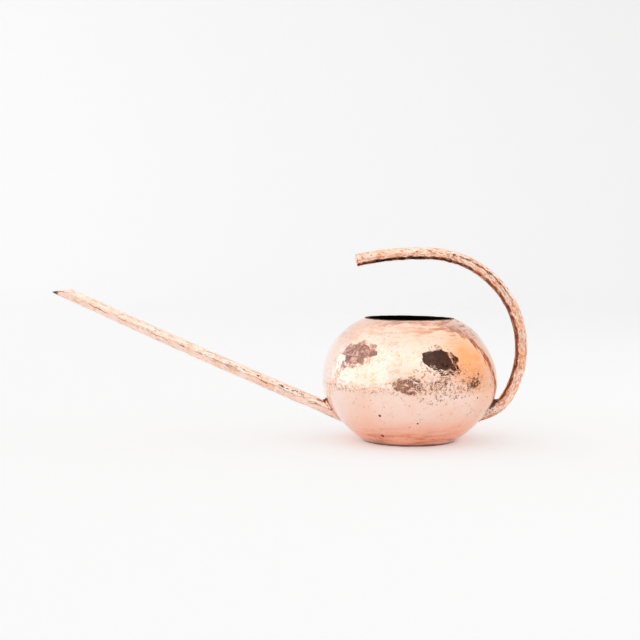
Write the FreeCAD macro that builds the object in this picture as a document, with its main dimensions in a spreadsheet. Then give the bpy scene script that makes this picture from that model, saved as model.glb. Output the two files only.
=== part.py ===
import FreeCAD, Part
import math
import os
from types import SimpleNamespace
import Sketcher

# Indoor watering can in hammered copper: two raised bowls soldered at the belly, a flat base let in
# at the foot, a long straight spout and an open tube handle that sweeps up over the mouth.
# Frame: origin at the centre of the base, +Z up, the spout runs to -X and the handle stands at +X.

os.makedirs("parts", exist_ok=True)
doc = FreeCAD.newDocument("WateringCan")
Vector = FreeCAD.Vector
Placement = FreeCAD.Placement
Rotation = FreeCAD.Rotation

# Driving sizes, millimetres and degrees
sizes = {
    # bowls
    "belly_radius": 82.5,        # widest radius of the body
    "belly_height": 55.5,        # height of the belly seam
    "mouth_radius": 41.5,
    "mouth_height": 115.5,       # outer edge of the mouth above the floor
    "base_radius": 42.5,
    "knuckle_radius": 40,        # bend under the belly
    "knuckle_angle": 30,         # how far the bend turns before the flank
    "sheet_wall": 1.2,
    "lap_height": 6,             # lip of the lower bowl inside the upper bowl
    "joggle_height": 3,          # slope on the inside of the lip's step
    "solder_film": 0.3,          # solder between two seated faces
    "seam_bead_width": 1.0,      # solder bead inside the belly seam, on the lip's edge
    "seam_bead_height": 1.5,
    # base
    "disc_wall": 1.5,
    "bead_height": 2,            # inside solder bead above the disc
    "bead_width": 2.5,
    # spout
    "spout_height": 32,          # axis of the spout where it crosses the belly radius
    "spout_angle": 24,           # rise of the spout above level
    "spout_length": 275.5,       # from the belly radius to the lower lip
    "spout_sink": 34,            # blank length inside the body, coped away
    "spout_root_radius": 6.3,
    "spout_tip_radius": 5.5,
    "spout_wall": 1.0,
    "lip_land": 0.5,             # square land left on the lower lip
    "tip_cut_angle": 31,         # cut of the tip against the spout's axis
    "tip_cut_lean": 12,          # cut leans to the front of the can
    "spout_bead": 1.6,           # solder fillet round the root
    # handle
    "tube_radius": 6.0,
    "tube_wall": 1.0,
    "bow_offset": 16,            # centre of the bow beyond the body's axis
    "bow_height": 86.8,
    "bow_radius": 89,
    "bow_low_angle": 30,         # bow starts this far below level
    "bow_high_angle": 88,        # and ends this far above level
    "grip_radius": 276,          # flatter run over the mouth
    "grip_angle": 14.3,
    "crook_radius": 38,          # tighter bend towards the body
    "crook_angle": 40,
    "root_length": 25,           # straight end that enters the body, coped away
    "handle_bead": 2.0,          # solder fillet round the root
    "cap_wall": 1.0,
    "cap_dome": 0.8,
}
s = SimpleNamespace(**sizes)

sheet = doc.addObject("Spreadsheet::Sheet", "Sizes")
for row, (name, value) in enumerate(sizes.items(), start=1):
    sheet.set(f"A{row}", name)
    sheet.set(f"B{row}", str(value))
    sheet.setAlias(f"B{row}", name)
doc.recompute()

# Centres and radii that follow from the sizes; the sketches start from them and are then solved
turn = math.radians(s.knuckle_angle)
knuckle_x = s.belly_radius - s.knuckle_radius
bend_x = knuckle_x + s.knuckle_radius * math.cos(turn)
bend_z = s.belly_height - s.knuckle_radius * math.sin(turn)
chord_x = s.base_radius - bend_x
chord_z = 0 - bend_z
flank_radius = -(chord_x ** 2 + chord_z ** 2) / (2 * (chord_x * math.cos(turn) - chord_z * math.sin(turn)))
flank_x = bend_x - flank_radius * math.cos(turn)
flank_z = bend_z + flank_radius * math.sin(turn)
shoulder_run = s.belly_radius - s.mouth_radius
shoulder_rise = s.mouth_height - s.belly_height
shoulder_radius = (shoulder_run ** 2 + shoulder_rise ** 2) / (2 * shoulder_run)
shoulder_x = s.belly_radius - shoulder_radius
SHOULDER = ("((Sizes.belly_radius - Sizes.mouth_radius)^2 + (Sizes.mouth_height - Sizes.belly_height)^2)"
            " / (2 * (Sizes.belly_radius - Sizes.mouth_radius))")

# How the sketcher counts an edge's points and its own axes
START, END, CENTRE = range(1, 4)
H_AXIS, V_AXIS = range(-1, -3, -1)


def bind(thing, formulas):
    for prop, formula in formulas.items():
        thing.setExpression(prop, formula)


def new_body(name):
    body = doc.addObject("PartDesign::Body", name)
    body.Label = name
    return body


def new_sketch(body, name, role="XZ_Plane"):
    plane = next(item for item in body.Origin.OriginFeatures if item.Role == role)
    sketch = body.newObject("Sketcher::SketchObject", name)
    sketch.AttachmentSupport = [(plane, "")]
    sketch.MapMode = "FlatFace"
    return sketch


def line(sketch, start, end, construction=False):
    edge = Part.LineSegment(Vector(start[0], start[1], 0), Vector(end[0], end[1], 0))
    return sketch.addGeometry(edge, construction)


def arc(sketch, x, y, radius, first, last, construction=False):
    circle = Part.Circle(Vector(x, y, 0), Vector(0, 0, 1), radius)
    return sketch.addGeometry(Part.ArcOfCircle(circle, first, last), construction)


def rule(sketch, kind, *where):
    return sketch.addConstraint(Sketcher.Constraint(kind, *where))


def driven(sketch, formula, kind, *where):
    index = sketch.addConstraint(Sketcher.Constraint(kind, *where))
    sketch.setExpression(f"Constraints[{index}]", formula)
    return index


def at_x(sketch, edge, point, formula):
    return driven(sketch, formula, "DistanceX", edge, point, sketch.getPoint(edge, point).x)


def at_y(sketch, edge, point, formula):
    return driven(sketch, formula, "DistanceY", edge, point, sketch.getPoint(edge, point).y)


def with_radius(sketch, edge, formula):
    return driven(sketch, formula, "Radius", edge, sketch.Geometry[edge].Radius)


def with_sweep(sketch, edge, formula):
    swept = sketch.Geometry[edge].LastParameter - sketch.Geometry[edge].FirstParameter
    return driven(sketch, formula, "Angle", edge, swept)


def joined(sketch, *pairs):
    for first, first_point, second, second_point in pairs:
        rule(sketch, "Coincident", first, first_point, second, second_point)


def flank_and_knuckle(sketch, construction=False):
    """Outer outline from the foot to the belly: flank arc, then the bend under the belly."""
    low = math.atan2(-flank_z, s.base_radius - flank_x)
    flank = arc(sketch, flank_x, flank_z, flank_radius, low, -turn, construction)
    knuckle = arc(sketch, knuckle_x, s.belly_height, s.knuckle_radius, -turn, 0, construction)
    rule(sketch, "Tangent", flank, END, knuckle, START)
    rule(sketch, "PointOnObject", flank, START, H_AXIS)
    at_x(sketch, flank, START, "Sizes.base_radius")
    at_x(sketch, knuckle, CENTRE, "Sizes.belly_radius - Sizes.knuckle_radius")
    at_y(sketch, knuckle, CENTRE, "Sizes.belly_height")
    with_radius(sketch, knuckle, "Sizes.knuckle_radius")
    with_sweep(sketch, knuckle, "Sizes.knuckle_angle")
    at_y(sketch, knuckle, END, "Sizes.belly_height")
    return flank, knuckle


def inner_pair(sketch, flank, knuckle, inset, formula, top, construction=False):
    """Flank and bend again, set in from the outline by a constant wall, ending at height top."""
    low = math.asin(-flank_z / (flank_radius - inset))
    high = math.asin((top - s.belly_height) / (s.knuckle_radius - inset))
    inner_flank = arc(sketch, flank_x, flank_z, flank_radius - inset, low, -turn, construction)
    inner_knuckle = arc(sketch, knuckle_x, s.belly_height, s.knuckle_radius - inset, -turn, high, construction)
    rule(sketch, "Tangent", inner_flank, END, inner_knuckle, START)
    joined(sketch, (inner_flank, CENTRE, flank, CENTRE), (inner_knuckle, CENTRE, knuckle, CENTRE))
    with_radius(sketch, inner_knuckle, "Sizes.knuckle_radius - (" + formula + ")")
    return inner_flank, inner_knuckle


def spin(body, sketch, axis="V_Axis"):
    revolution = body.newObject("PartDesign::Revolution", sketch.Name + "_spin")
    revolution.Profile = sketch
    revolution.ReferenceAxis = (sketch, [axis])
    revolution.Angle = 360
    body.Tip = revolution
    return revolution


def shoulder_at(height, inset=0.0):
    return math.asin((height - s.belly_height) / (shoulder_radius - inset))


# Lower bowl: flank, bend under the belly, and a lip stepped in by one wall that the upper bowl covers
lower_raw = new_body("lower_bowl")
section = new_sketch(lower_raw, "lower_section")
flank, knuckle = flank_and_knuckle(section)
step_x = s.belly_radius - s.sheet_wall - s.solder_film
lip_top = s.belly_height + s.lap_height
lip_out = s.sheet_wall + s.solder_film
lip_in = 2 * s.sheet_wall + s.solder_film
joggle_z = s.belly_height - s.joggle_height
inner_flank, inner_knuckle = inner_pair(section, flank, knuckle, s.sheet_wall, "Sizes.sheet_wall", joggle_z)
outer_lip = arc(section, shoulder_x, s.belly_height, shoulder_radius - lip_out, 0, shoulder_at(lip_top, lip_out))
inner_lip = arc(section, shoulder_x, s.belly_height, shoulder_radius - lip_in, 0, shoulder_at(lip_top, lip_in))
step = line(section, (s.belly_radius, s.belly_height), (step_x, s.belly_height))
lip_edge = line(section, section.getPoint(outer_lip, END)[:2], section.getPoint(inner_lip, END)[:2])
joggle = line(section, section.getPoint(inner_lip, START)[:2], section.getPoint(inner_knuckle, END)[:2])
foot = line(section, section.getPoint(inner_flank, START)[:2], (s.base_radius, 0))
joined(section, (knuckle, END, step, START), (step, END, outer_lip, START), (outer_lip, END, lip_edge, START),
       (lip_edge, END, inner_lip, END), (inner_lip, START, joggle, START), (joggle, END, inner_knuckle, END),
       (inner_flank, START, foot, START), (foot, END, flank, START), (outer_lip, CENTRE, inner_lip, CENTRE))
rule(section, "Horizontal", step)
rule(section, "Horizontal", lip_edge)
rule(section, "Horizontal", foot)
at_x(section, outer_lip, CENTRE, "Sizes.belly_radius - (" + SHOULDER + ")")
at_y(section, outer_lip, CENTRE, "Sizes.belly_height")
with_radius(section, outer_lip, SHOULDER + " - Sizes.sheet_wall - Sizes.solder_film")
with_radius(section, inner_lip, SHOULDER + " - 2 * Sizes.sheet_wall - Sizes.solder_film")
at_y(section, outer_lip, END, "Sizes.belly_height + Sizes.lap_height")
at_y(section, inner_lip, START, "Sizes.belly_height")
at_y(section, inner_knuckle, END, "Sizes.belly_height - Sizes.joggle_height")
spin(lower_raw, section)

# Hole in the bowl wall under the root of the spout, square to the spout's axis
hole_plan = new_sketch(lower_raw, "spout_hole_plan", "YZ_Plane")
hole_plan.AttachmentOffset = Placement(
    Vector(0, s.spout_height, -s.belly_radius), Rotation(Vector(1, 0, 0), s.spout_angle))
bind(hole_plan, {
    "AttachmentOffset.Base.y": "Sizes.spout_height",
    "AttachmentOffset.Base.z": "-Sizes.belly_radius",
    "AttachmentOffset.Rotation.Angle": "Sizes.spout_angle",
})
bore = hole_plan.addGeometry(
    Part.Circle(Vector(0, 0, 0), Vector(0, 0, 1), s.spout_root_radius - s.spout_wall), False)
joined(hole_plan, (bore, CENTRE, H_AXIS, START))
driven(hole_plan, "Sizes.spout_root_radius - Sizes.spout_wall", "Radius", bore, s.spout_root_radius - s.spout_wall)
spout_hole = lower_raw.newObject("PartDesign::Pocket", "spout_hole")
spout_hole.Profile = hole_plan
spout_hole.Midplane = True
spout_hole.Length = 2 * s.spout_sink
bind(spout_hole, {"Length": "2 * Sizes.spout_sink"})
lower_raw.Tip = spout_hole

# Upper bowl: one shoulder arc, cut square at the mouth
upper_bowl = new_body("upper_bowl")
section = new_sketch(upper_bowl, "upper_section")
seat_z = s.belly_height + s.solder_film
outer = arc(section, shoulder_x, s.belly_height, shoulder_radius, shoulder_at(seat_z), shoulder_at(s.mouth_height))
inner = arc(section, shoulder_x, s.belly_height, shoulder_radius - s.sheet_wall,
            shoulder_at(seat_z, s.sheet_wall), shoulder_at(s.mouth_height))
rim = line(section, section.getPoint(outer, END)[:2], section.getPoint(inner, END)[:2])
seat = line(section, section.getPoint(inner, START)[:2], section.getPoint(outer, START)[:2])
joined(section, (outer, END, rim, START), (rim, END, inner, END), (inner, START, seat, START),
       (seat, END, outer, START), (outer, CENTRE, inner, CENTRE))
rule(section, "PointOnObject", outer, CENTRE, rim)
rule(section, "Horizontal", seat)
at_x(section, outer, CENTRE, "Sizes.belly_radius - (" + SHOULDER + ")")
at_y(section, outer, CENTRE, "Sizes.belly_height")
with_radius(section, outer, SHOULDER)
with_radius(section, inner, SHOULDER + " - Sizes.sheet_wall")
at_y(section, outer, START, "Sizes.belly_height + Sizes.solder_film")
at_x(section, outer, END, "Sizes.mouth_radius")
spin(upper_bowl, section)

# Solder of the belly seam: fills the lap and the seat under the upper bowl's edge, and stands as a
# small bead on the lip's edge inside
belly_solder = new_body("belly_solder")
section = new_sketch(belly_solder, "belly_solder_section")
wall_in = s.sheet_wall
seam_top = lip_top + s.seam_bead_height
outer = arc(section, shoulder_x, s.belly_height, shoulder_radius - wall_in,
            shoulder_at(seat_z, wall_in), shoulder_at(seam_top, wall_in))
inner = arc(section, shoulder_x, s.belly_height, shoulder_radius - lip_out, 0, shoulder_at(lip_top, lip_out))
face_x = shoulder_x + shoulder_radius * math.cos(shoulder_at(seat_z))
lip_corner = section.getPoint(inner, END)
bead_x = lip_corner.x - s.seam_bead_width
floor_line = line(section, (step_x, s.belly_height), (face_x, s.belly_height))
face = line(section, (face_x, s.belly_height), (face_x, seat_z))
under = line(section, (face_x, seat_z), section.getPoint(outer, START)[:2])
bead = line(section, section.getPoint(outer, END)[:2], (bead_x, lip_top))
land = line(section, (bead_x, lip_top), lip_corner[:2])
joined(section, (inner, START, floor_line, START), (floor_line, END, face, START), (face, END, under, START),
       (under, END, outer, START), (outer, END, bead, START), (bead, END, land, START),
       (land, END, inner, END), (outer, CENTRE, inner, CENTRE))
for level in (floor_line, under, land):
    rule(section, "Horizontal", level)
rule(section, "Vertical", face)
at_x(section, outer, CENTRE, "Sizes.belly_radius - (" + SHOULDER + ")")
at_y(section, outer, CENTRE, "Sizes.belly_height")
with_radius(section, outer, SHOULDER + " - Sizes.sheet_wall")
with_radius(section, inner, SHOULDER + " - Sizes.sheet_wall - Sizes.solder_film")
at_y(section, inner, START, "Sizes.belly_height")
at_y(section, outer, START, "Sizes.belly_height + Sizes.solder_film")
at_y(section, outer, END, "Sizes.belly_height + Sizes.lap_height + Sizes.seam_bead_height")
at_y(section, inner, END, "Sizes.belly_height + Sizes.lap_height")
driven(section, "Sizes.seam_bead_width", "DistanceX", land, START, land, END, s.seam_bead_width)
at_x(section, face, START, "Sizes.belly_radius - (" + SHOULDER + ")"
     " + sqrt((" + SHOULDER + ")^2 - Sizes.solder_film^2)")
spin(belly_solder, section)

# Base disc: let into the foot of the lower bowl, its edge follows the flank
base_disc = new_body("base_disc")
section = new_sketch(base_disc, "disc_section")
flank, knuckle = flank_and_knuckle(section, True)
seat_in = s.sheet_wall + s.solder_film
guide, bend = inner_pair(section, flank, knuckle, seat_in, "Sizes.sheet_wall + Sizes.solder_film",
                         s.belly_height, True)
rule(section, "PointOnObject", guide, START, H_AXIS)
at_y(section, bend, END, "Sizes.belly_height")
edge_radius = flank_radius - seat_in
edge = arc(section, flank_x, flank_z, edge_radius,
           math.asin(-flank_z / edge_radius), math.asin((s.disc_wall - flank_z) / edge_radius))
edge_low = section.getPoint(edge, START)
edge_high = section.getPoint(edge, END)
under = line(section, (0, 0), (edge_low.x, 0))
top = line(section, (edge_high.x, s.disc_wall), (0, s.disc_wall))
middle = line(section, (0, s.disc_wall), (0, 0))
joined(section, (under, END, edge, START), (edge, END, top, START), (top, END, middle, START),
       (middle, END, under, START), (under, START, H_AXIS, START), (edge, CENTRE, flank, CENTRE))
rule(section, "Equal", edge, guide)
rule(section, "Horizontal", under)
rule(section, "Horizontal", top)
rule(section, "Vertical", middle)
at_y(section, edge, END, "Sizes.disc_wall")
spin(base_disc, section)

# Base solder: film round the disc's edge and a bead inside, above the disc
base_solder = new_body("base_solder")
section = new_sketch(base_solder, "base_solder_section")
flank, knuckle = flank_and_knuckle(section, True)
wall_guide, wall_bend = inner_pair(section, flank, knuckle, s.sheet_wall, "Sizes.sheet_wall", s.belly_height, True)
disc_guide, disc_bend = inner_pair(section, flank, knuckle, seat_in, "Sizes.sheet_wall + Sizes.solder_film",
                                   s.belly_height, True)
for guide, bend in ((wall_guide, wall_bend), (disc_guide, disc_bend)):
    rule(section, "PointOnObject", guide, START, H_AXIS)
    at_y(section, bend, END, "Sizes.belly_height")
wall_radius = flank_radius - s.sheet_wall
bead_top = s.disc_wall + s.bead_height
wall_side = arc(section, flank_x, flank_z, wall_radius,
                math.asin(-flank_z / wall_radius), math.asin((bead_top - flank_z) / wall_radius))
disc_side = arc(section, flank_x, flank_z, edge_radius,
                math.asin(-flank_z / edge_radius), math.asin((s.disc_wall - flank_z) / edge_radius))
under = line(section, section.getPoint(disc_side, START)[:2], section.getPoint(wall_side, START)[:2])
bead = line(section, section.getPoint(wall_side, END)[:2], (edge_high.x - s.bead_width, s.disc_wall))
land = line(section, (edge_high.x - s.bead_width, s.disc_wall), (edge_high.x, s.disc_wall))
joined(section, (under, END, wall_side, START), (wall_side, END, bead, START), (bead, END, land, START),
       (land, END, disc_side, END), (disc_side, START, under, START),
       (wall_side, CENTRE, flank, CENTRE), (disc_side, CENTRE, flank, CENTRE))
rule(section, "Equal", wall_side, wall_guide)
rule(section, "Equal", disc_side, disc_guide)
rule(section, "PointOnObject", under, START, H_AXIS)
rule(section, "Horizontal", under)
rule(section, "Horizontal", land)
at_y(section, disc_side, END, "Sizes.disc_wall")
at_y(section, wall_side, END, "Sizes.disc_wall + Sizes.bead_height")
driven(section, "Sizes.bead_width", "DistanceX", land, START, land, END, s.bead_width)
spin(base_solder, section)

# Solid form of the whole body: what the roots of the spout and the handle are coped against
body_form = new_body("body_form")
section = new_sketch(body_form, "form_section", "YZ_Plane")
flank, knuckle = flank_and_knuckle(section)
shoulder = arc(section, shoulder_x, s.belly_height, shoulder_radius, 0, shoulder_at(s.mouth_height))
top = line(section, (s.mouth_radius, s.mouth_height), (0, s.mouth_height))
middle = line(section, (0, s.mouth_height), (0, 0))
foot = line(section, (0, 0), (s.base_radius, 0))
joined(section, (knuckle, END, shoulder, START), (shoulder, END, top, START), (top, END, middle, START),
       (middle, END, foot, START), (foot, END, flank, START), (middle, END, H_AXIS, START))
rule(section, "Horizontal", top)
rule(section, "Vertical", middle)
at_x(section, shoulder, CENTRE, "Sizes.belly_radius - (" + SHOULDER + ")")
at_y(section, shoulder, CENTRE, "Sizes.belly_height")
at_x(section, shoulder, END, "Sizes.mouth_radius")
spin(body_form, section)

# Spout blank: tapered tube drawn along its own X, from inside the body to the lower lip
tip_x = s.spout_sink + s.spout_length
start_radius = s.spout_root_radius + (s.spout_root_radius - s.spout_tip_radius) * s.spout_sink / s.spout_length
TIP_X = "Sizes.spout_sink + Sizes.spout_length"
START_RADIUS = ("Sizes.spout_root_radius"
                " + (Sizes.spout_root_radius - Sizes.spout_tip_radius) * Sizes.spout_sink / Sizes.spout_length")
SPOUT_PLACE = {
    "Placement.Base.x": "-Sizes.belly_radius + Sizes.spout_sink * cos(Sizes.spout_angle)",
    "Placement.Base.z": "Sizes.spout_height - Sizes.spout_sink * sin(Sizes.spout_angle)",
    "Placement.Rotation.Angle": "180 + Sizes.spout_angle",
}


def tapered(name, wall, wall_formula):
    """Spout blank with the given wall, or solid where the wall is the whole radius."""
    blank = new_body(name)
    section = new_sketch(blank, name + "_section")
    inner_start = start_radius - wall
    inner_tip = s.spout_tip_radius - wall
    outer = line(section, (0, start_radius), (tip_x, s.spout_tip_radius))
    end = line(section, (tip_x, s.spout_tip_radius), (tip_x, inner_tip))
    inner = line(section, (tip_x, inner_tip), (0, inner_start))
    back = line(section, (0, inner_start), (0, start_radius))
    joined(section, (outer, END, end, START), (end, END, inner, START), (inner, END, back, START),
           (back, END, outer, START))
    rule(section, "Vertical", end)
    rule(section, "Vertical", back)
    rule(section, "PointOnObject", outer, START, V_AXIS)
    at_y(section, outer, START, START_RADIUS)
    at_x(section, outer, END, TIP_X)
    at_y(section, outer, END, "Sizes.spout_tip_radius")
    at_y(section, inner, START, "Sizes.spout_tip_radius - " + wall_formula)
    at_y(section, inner, END, START_RADIUS + " - " + wall_formula)
    spin(blank, section, "H_Axis")
    blank.Placement = Placement(Vector(0, 0, 0), Rotation(Vector(0, 1, 0), 180 + s.spout_angle))
    bind(blank, SPOUT_PLACE)
    return blank


spout_blank = tapered("spout_blank", s.spout_wall, "Sizes.spout_wall")
cut_angle = math.radians(s.tip_cut_angle)
cut_plan = new_sketch(spout_blank, "tip_cut_plan")
cut_plan.AttachmentOffset = Placement(Vector(0, 0, 0), Rotation(Vector(1, 0, 0), s.tip_cut_lean))
bind(cut_plan, {"AttachmentOffset.Rotation.Angle": "Sizes.tip_cut_lean"})
far_x = tip_x + s.spout_tip_radius
near_y = s.spout_tip_radius - s.lip_land + s.spout_tip_radius * math.tan(cut_angle)
far_y = -2 * s.spout_tip_radius
saw = line(cut_plan, (far_x, near_y), (far_x - (near_y - far_y) / math.tan(cut_angle), far_y))
waste = line(cut_plan, cut_plan.getPoint(saw, END)[:2], (far_x, far_y))
side = line(cut_plan, (far_x, far_y), (far_x, near_y))
joined(cut_plan, (saw, END, waste, START), (waste, END, side, START), (side, END, saw, START))
rule(cut_plan, "Horizontal", waste)
rule(cut_plan, "Vertical", side)
at_x(cut_plan, saw, START, TIP_X + " + Sizes.spout_tip_radius")
at_y(cut_plan, saw, START, "Sizes.spout_tip_radius - Sizes.lip_land"
     " + Sizes.spout_tip_radius * tan(Sizes.tip_cut_angle)")
driven(cut_plan, "2 * Sizes.spout_tip_radius", "DistanceY", waste, END, H_AXIS, START, -far_y)
driven(cut_plan, "Sizes.tip_cut_angle", "Angle", waste, START, saw, END, cut_angle)
tip_cut = spout_blank.newObject("PartDesign::Pocket", "tip_cut")
tip_cut.Profile = cut_plan
tip_cut.Midplane = True
tip_cut.Length = 6 * s.spout_tip_radius
bind(tip_cut, {"Length": "6 * Sizes.spout_tip_radius"})
spout_blank.Tip = tip_cut

spout_tube = doc.addObject("Part::Cut", "spout_tube")
spout_tube.Base = spout_blank
spout_tube.Tool = body_form

# Handle blank: straight root inside the body, tight crook, large bow, flatter grip over the mouth
low = math.radians(s.bow_low_angle)
high = math.radians(s.bow_high_angle)
crook = math.radians(s.crook_angle)
grip = math.radians(s.grip_angle)
crook_x = s.bow_offset + (s.bow_radius - s.crook_radius) * math.cos(low)
crook_z = s.bow_height - (s.bow_radius - s.crook_radius) * math.sin(low)
grip_x = s.bow_offset - (s.grip_radius - s.bow_radius) * math.cos(high)
grip_z = s.bow_height - (s.grip_radius - s.bow_radius) * math.sin(high)
root_turn = math.radians(90 - s.bow_low_angle - s.crook_angle)
root_x = crook_x + s.crook_radius * math.sin(root_turn) - s.root_length * math.cos(root_turn)
root_z = crook_z - s.crook_radius * math.cos(root_turn) - s.root_length * math.sin(root_turn)
ROOT_TURN = "(90 - Sizes.bow_low_angle - Sizes.crook_angle)"
ROOT_X = ("Sizes.bow_offset + (Sizes.bow_radius - Sizes.crook_radius) * cos(Sizes.bow_low_angle)"
          " + Sizes.crook_radius * sin" + ROOT_TURN + " - Sizes.root_length * cos" + ROOT_TURN)
ROOT_Z = ("Sizes.bow_height - (Sizes.bow_radius - Sizes.crook_radius) * sin(Sizes.bow_low_angle)"
          " - Sizes.crook_radius * cos" + ROOT_TURN + " - Sizes.root_length * sin" + ROOT_TURN)


def bent(name, bore):
    """Tube swept along the handle's line; bore 0 gives a solid bar."""
    blank = new_body(name)
    path = new_sketch(blank, name + "_path")
    root = line(path, (root_x, root_z), (crook_x + s.crook_radius * math.sin(root_turn),
                                         crook_z - s.crook_radius * math.cos(root_turn)))
    bend = arc(path, crook_x, crook_z, s.crook_radius, -low - crook, -low)
    bow = arc(path, s.bow_offset, s.bow_height, s.bow_radius, -low, high)
    run = arc(path, grip_x, grip_z, s.grip_radius, high, high + grip)
    for first, second in ((root, bend), (bend, bow), (bow, run)):
        rule(path, "Tangent", first, END, second, START)
    at_x(path, bow, CENTRE, "Sizes.bow_offset")
    at_y(path, bow, CENTRE, "Sizes.bow_height")
    with_radius(path, bow, "Sizes.bow_radius")
    with_radius(path, bend, "Sizes.crook_radius")
    with_radius(path, run, "Sizes.grip_radius")
    at_y(path, bow, START, "Sizes.bow_height - Sizes.bow_radius * sin(Sizes.bow_low_angle)")
    at_x(path, bow, END, "Sizes.bow_offset + Sizes.bow_radius * cos(Sizes.bow_high_angle)")
    with_sweep(path, bend, "Sizes.crook_angle")
    with_sweep(path, run, "Sizes.grip_angle")
    driven(path, "Sizes.root_length", "Distance", root, START, root, END, s.root_length)
    ring = new_sketch(blank, name + "_ring", "YZ_Plane")
    ring.AttachmentOffset = Placement(
        Vector(0, root_z, root_x), Rotation(Vector(-1, 0, 0), math.degrees(root_turn)))
    bind(ring, {
        "AttachmentOffset.Base.y": ROOT_Z,
        "AttachmentOffset.Base.z": ROOT_X,
        "AttachmentOffset.Rotation.Angle": ROOT_TURN,
    })
    rings = [(s.tube_radius, "Sizes.tube_radius")]
    if bore:
        rings.append((s.tube_radius - s.tube_wall, "Sizes.tube_radius - Sizes.tube_wall"))
    for radius, formula in rings:
        circle = ring.addGeometry(Part.Circle(Vector(0, 0, 0), Vector(0, 0, 1), radius), False)
        joined(ring, (circle, CENTRE, H_AXIS, START))
        driven(ring, formula, "Radius", circle, radius)
    doc.recompute()
    pipe = blank.newObject("PartDesign::AdditivePipe", name + "_pipe")
    pipe.Profile = ring
    pipe.Spine = (path, [])
    blank.Tip = pipe
    return blank


handle_blank = bent("handle_blank", True)
handle_tube = doc.addObject("Part::Cut", "handle_tube")
handle_tube.Base = handle_blank
handle_tube.Tool = body_form
doc.recompute()

# Solder beads: the solid root and the body's form are joined, their meeting edge is filleted and
# the joined form taken away, which leaves the ring of solder round the root
spout_rod = doc.addObject("Part::Cone", "spout_rod")
spout_rod.Placement = Placement(Vector(0, 0, 0), Rotation(Vector(0, 1, 0), s.spout_angle - 90))
bind(spout_rod, {
    "Radius1": START_RADIUS,
    "Radius2": "Sizes.spout_tip_radius",
    "Height": TIP_X,
    "Placement.Base.x": SPOUT_PLACE["Placement.Base.x"],
    "Placement.Base.z": SPOUT_PLACE["Placement.Base.z"],
    "Placement.Rotation.Angle": "Sizes.spout_angle - 90",
})
handle_bar = bent("handle_bar", False)


def bead_ring(name, bar, radius):
    joint = doc.addObject("Part::Fuse", name + "_joint")
    joint.Base = body_form
    joint.Tool = bar
    doc.recompute()
    meeting = []
    for index, edge in enumerate(joint.Shape.Edges, start=1):
        middle = Part.Vertex(edge.valueAt((edge.FirstParameter + edge.LastParameter) / 2))
        on_body = min(face.distToShape(middle)[0] for face in body_form.Shape.Faces)
        on_bar = min(face.distToShape(middle)[0] for face in bar.Shape.Faces)
        if on_body < 0.001 and on_bar < 0.001:
            meeting.append((index, radius, radius))
    fillet = doc.addObject("Part::Fillet", name + "_fillet")
    fillet.Base = joint
    fillet.Edges = meeting
    ring = doc.addObject("Part::Cut", name)
    ring.Base = fillet
    ring.Tool = joint
    doc.recompute()
    return ring


spout_solder = bead_ring("spout_solder", spout_rod, s.spout_bead)
handle_solder = bead_ring("handle_solder", handle_bar, s.handle_bead)

# End cap: slightly domed disc soldered on the free end, drawn along its own X from the tube's end
END_PLACE = {
    "Placement.Base.x": ("Sizes.bow_offset - (Sizes.grip_radius - Sizes.bow_radius) * cos(Sizes.bow_high_angle)"
                         " + Sizes.grip_radius * cos(Sizes.bow_high_angle + Sizes.grip_angle)"),
    "Placement.Base.z": ("Sizes.bow_height - (Sizes.grip_radius - Sizes.bow_radius) * sin(Sizes.bow_high_angle)"
                         " + Sizes.grip_radius * sin(Sizes.bow_high_angle + Sizes.grip_angle)"),
    "Placement.Rotation.Angle": "-90 - Sizes.bow_high_angle - Sizes.grip_angle",
}


def place_at_end(piece):
    piece.Placement = Placement(Vector(0, 0, 0), Rotation(Vector(0, 1, 0), -90 - s.bow_high_angle - s.grip_angle))
    bind(piece, END_PLACE)


handle_cap_solder = new_body("handle_cap_solder")
ring = new_sketch(handle_cap_solder, "cap_solder_ring", "YZ_Plane")
for radius, formula in ((s.tube_radius, "Sizes.tube_radius"),
                        (s.tube_radius - s.tube_wall, "Sizes.tube_radius - Sizes.tube_wall")):
    circle = ring.addGeometry(Part.Circle(Vector(0, 0, 0), Vector(0, 0, 1), radius), False)
    joined(ring, (circle, CENTRE, H_AXIS, START))
    driven(ring, formula, "Radius", circle, radius)
film = handle_cap_solder.newObject("PartDesign::Pad", "cap_solder_film")
film.Profile = ring
film.Length = s.solder_film
bind(film, {"Length": "Sizes.solder_film"})
handle_cap_solder.Tip = film
place_at_end(handle_cap_solder)

handle_end_cap = new_body("handle_end_cap")
section = new_sketch(handle_end_cap, "cap_section")
cap_edge_x = s.solder_film + s.cap_wall
dome_radius = (s.tube_radius ** 2 + s.cap_dome ** 2) / (2 * s.cap_dome)
dome_x = cap_edge_x + s.cap_dome - dome_radius
dome = arc(section, dome_x, 0, dome_radius, 0, math.asin(s.tube_radius / dome_radius))
side = line(section, (cap_edge_x, s.tube_radius), (s.solder_film, s.tube_radius))
back = line(section, (s.solder_film, s.tube_radius), (s.solder_film, 0))
axis = line(section, (s.solder_film, 0), (cap_edge_x + s.cap_dome, 0))
joined(section, (dome, END, side, START), (side, END, back, START), (back, END, axis, START),
       (axis, END, dome, START))
rule(section, "Horizontal", side)
rule(section, "Vertical", back)
rule(section, "PointOnObject", axis, START, H_AXIS)
rule(section, "PointOnObject", axis, END, H_AXIS)
rule(section, "PointOnObject", dome, CENTRE, H_AXIS)
at_x(section, back, START, "Sizes.solder_film")
at_y(section, back, START, "Sizes.tube_radius")
at_x(section, side, START, "Sizes.solder_film + Sizes.cap_wall")
at_x(section, axis, END, "Sizes.solder_film + Sizes.cap_wall + Sizes.cap_dome")
spin(handle_end_cap, section, "H_Axis")
place_at_end(handle_end_cap)
doc.recompute()

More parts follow.
